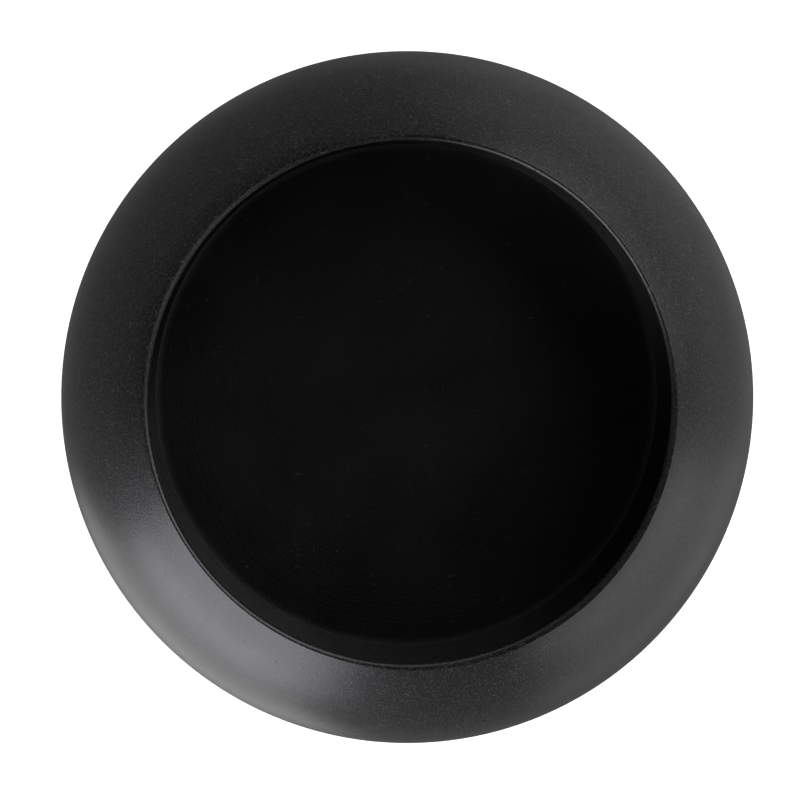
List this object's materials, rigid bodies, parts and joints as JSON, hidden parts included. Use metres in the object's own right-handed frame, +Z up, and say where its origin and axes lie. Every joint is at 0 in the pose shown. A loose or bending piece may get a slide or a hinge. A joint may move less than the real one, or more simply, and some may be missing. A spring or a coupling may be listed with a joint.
{
  "type": "bowl",
  "caption": "Low round bowl with a closed-in shoulder, a wide mouth with a thin lip that is rounded on its inner side, and a flat floor inside, in matt black stoneware, standing on felt pads.",
  "frame": {"origin": "on the bowl's axis, at the height of the surface that the felt pads stand on", "axes": "+Z up along the bowl's axis, out of the mouth; +X and +Y lie between the felt pads, which are at 45 degrees to them"},
  "size_m": [0.35, 0.35, 0.14],
  "materials": {
    "glaze": "satin",
    "felt": "matte"
  },
  "bodies": {
    "root": {"bowl": "glaze", "felt_pad_1": "felt", "felt_pad_2": "felt", "felt_pad_3": "felt", "felt_pad_4": "felt"}
  },
  "joints": []
}
